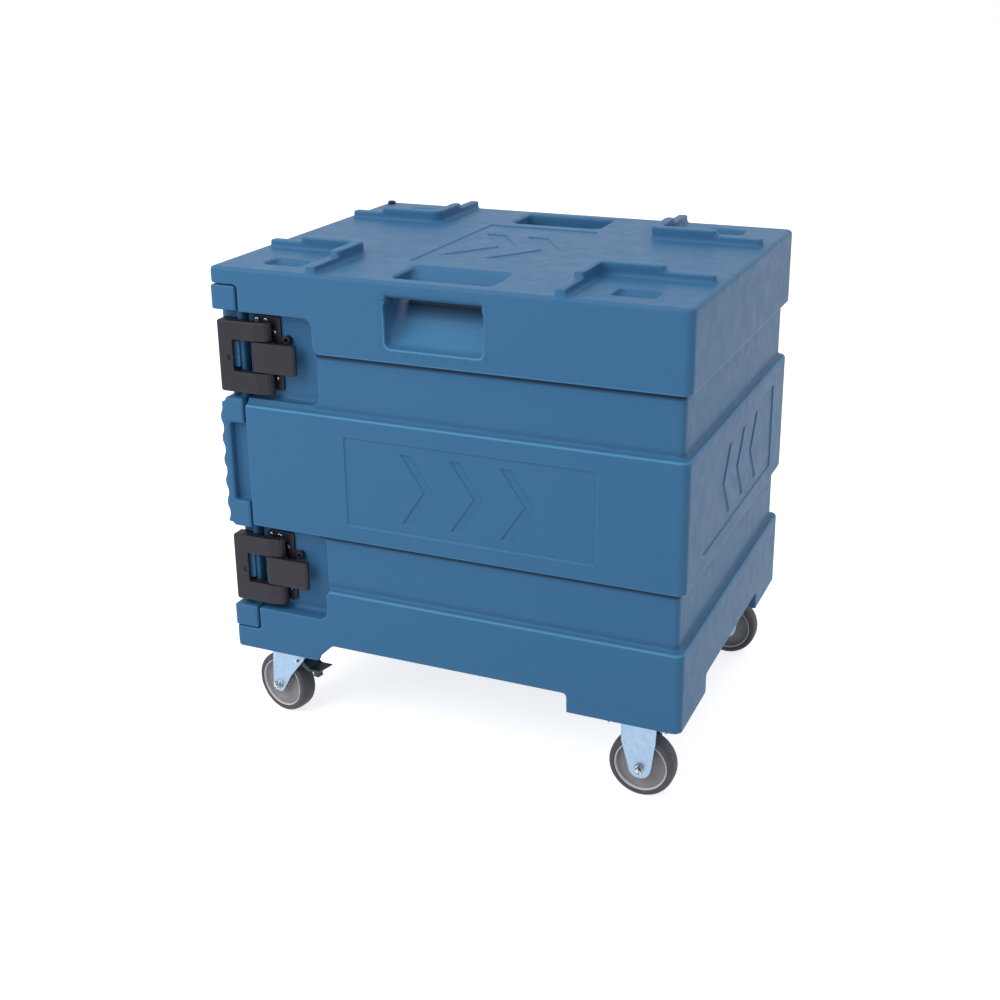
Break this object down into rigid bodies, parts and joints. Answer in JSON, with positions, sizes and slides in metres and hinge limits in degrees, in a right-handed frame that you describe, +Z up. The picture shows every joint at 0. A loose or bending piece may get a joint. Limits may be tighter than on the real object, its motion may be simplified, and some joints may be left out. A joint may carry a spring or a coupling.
{
  "type": "insulated food carrier",
  "caption": "Front-loading insulated carrier for food trays, with a hinged door, draw latches, moulded hand grips, stacking ribs and casters.",
  "frame": {"origin": "on the floor, under the middle of the overall box", "axes": "+X across the door towards the latches, +Y from the door to the back, +Z up"},
  "size_m": [0.568, 0.73, 0.765],
  "materials": {
    "body_blue": "rotomoulded polyethylene, slate blue, fine matt texture",
    "foam": "rigid polyurethane foam, hidden",
    "seal": "black silicone seal",
    "vent": "black polyamide",
    "black_nylon": "charcoal glass-filled nylon, satin",
    "steel": "bright plated steel",
    "zinc": "blue-white zinc plating",
    "bearing": "plain steel",
    "tyre_rubber": "dark grey thermoplastic rubber",
    "wheel_core": "grey polypropylene",
    "pedal": "black coated steel"
  },
  "bodies": {
    "carrier": {"body_foam": "foam", "body_shell": "body_blue", "caster_bolts": "steel", "front_left_ball_race": "bearing", "front_left_king_pin": "zinc", "front_left_top_plate": "zinc", "front_right_ball_race": "bearing", "front_right_king_pin": "zinc", "front_right_top_plate": "zinc", "hinge_pin_lower": "black_nylon", "hinge_pin_upper": "black_nylon", "latch_base_lower": "black_nylon", "latch_base_upper": "black_nylon", "latch_screws_lower": "steel", "latch_screws_upper": "steel", "lever_pin_lower": "steel", "lever_pin_upper": "steel", "rear_left_axle_bolt": "steel", "rear_left_axle_bush": "bearing", "rear_left_axle_nut": "steel", "rear_left_bracket": "zinc", "rear_right_axle_bolt": "steel", "rear_right_axle_bush": "bearing", "rear_right_axle_nut": "steel", "rear_right_bracket": "zinc"},
    "door": {"door_shell": "body_blue", "door_foam": "foam", "door_gasket": "seal", "vent_cap": "vent", "hinge_bush_upper": "black_nylon", "hinge_bush_lower": "black_nylon"},
    "lever_upper": {"latch_lever_upper": "black_nylon", "link_pin_upper": "steel"},
    "link_upper": {"latch_link_upper": "black_nylon"},
    "lever_lower": {"latch_lever_lower": "black_nylon", "link_pin_lower": "steel"},
    "link_lower": {"latch_link_lower": "black_nylon"},
    "front_right_swivel": {"front_right_fork": "zinc", "front_right_axle_bush": "bearing", "front_right_axle_bolt": "steel", "front_right_axle_nut": "steel", "front_right_pedal_pin": "steel"},
    "front_right_wheel": {"front_right_wheel_core": "wheel_core", "front_right_tyre": "tyre_rubber"},
    "front_right_pedal": {"front_right_brake_pedal": "pedal"},
    "front_left_swivel": {"front_left_fork": "zinc", "front_left_axle_bush": "bearing", "front_left_axle_bolt": "steel", "front_left_axle_nut": "steel", "front_left_pedal_pin": "steel"},
    "front_left_wheel": {"front_left_wheel_core": "wheel_core", "front_left_tyre": "tyre_rubber"},
    "front_left_pedal": {"front_left_brake_pedal": "pedal"},
    "rear_right_wheel": {"rear_right_wheel_core": "wheel_core", "rear_right_tyre": "tyre_rubber"},
    "rear_left_wheel": {"rear_left_wheel_core": "wheel_core", "rear_left_tyre": "tyre_rubber"}
  },
  "joints": [
    {"name": "door_swing", "type": "hinge", "parent": "carrier", "child": "door", "pos_m": [-0.266, -0.352, 0.442], "axis": [0, 0, -1], "range_deg": [0, 180]},
    {"name": "latch_upper_lever", "type": "hinge", "parent": "carrier", "child": "lever_upper", "pos_m": [0.274, -0.297, 0.613], "axis": [0, 0, -1], "range_deg": [0, 100]},
    {"name": "latch_upper_link", "type": "hinge", "parent": "lever_upper", "child": "link_upper", "pos_m": [0.274, -0.28, 0.613], "axis": [0, 0, 1], "range_deg": [0, 110]},
    {"name": "latch_lower_lever", "type": "hinge", "parent": "carrier", "child": "lever_lower", "pos_m": [0.274, -0.297, 0.271], "axis": [0, 0, -1], "range_deg": [0, 100]},
    {"name": "latch_lower_link", "type": "hinge", "parent": "lever_lower", "child": "link_lower", "pos_m": [0.274, -0.28, 0.271], "axis": [0, 0, 1], "range_deg": [0, 110]},
    {"name": "front_right_swivel_turn", "type": "hinge", "parent": "carrier", "child": "front_right_swivel", "pos_m": [0.232, -0.287, 0.12], "axis": [0, 0, 1], "continuous": true},
    {"name": "front_right_wheel_spin", "type": "hinge", "parent": "front_right_swivel", "child": "front_right_wheel", "pos_m": [0.22591, -0.31382, 0.05], "axis": [0.9751, -0.2215, 0], "continuous": true},
    {"name": "front_right_brake", "type": "hinge", "parent": "front_right_swivel", "child": "front_right_pedal", "pos_m": [0.23555, -0.2714, 0.104], "axis": [-0.9751, 0.2215, 0], "range_deg": [0, 18]},
    {"name": "front_left_swivel_turn", "type": "hinge", "parent": "carrier", "child": "front_left_swivel", "pos_m": [-0.232, -0.287, 0.12], "axis": [0, 0, 1], "continuous": true},
    {"name": "front_left_wheel_spin", "type": "hinge", "parent": "front_left_swivel", "child": "front_left_wheel", "pos_m": [-0.232, -0.3145, 0.05], "axis": [1, 0, 0], "continuous": true},
    {"name": "front_left_brake", "type": "hinge", "parent": "front_left_swivel", "child": "front_left_pedal", "pos_m": [-0.232, -0.271, 0.104], "axis": [-1, 0, 0], "range_deg": [0, 18]},
    {"name": "rear_right_wheel_spin", "type": "hinge", "parent": "carrier", "child": "rear_right_wheel", "pos_m": [0.2405, 0.299, 0.05], "axis": [1, 0, 0], "continuous": true},
    {"name": "rear_left_wheel_spin", "type": "hinge", "parent": "carrier", "child": "rear_left_wheel", "pos_m": [-0.2405, 0.299, 0.05], "axis": [1, 0, 0], "continuous": true}
  ],
  "couplings": [
    {"joint": "latch_upper_link", "follows": "latch_upper_lever", "ratio": 1.1},
    {"joint": "latch_lower_link", "follows": "latch_lower_lever", "ratio": 1.1}
  ]
}
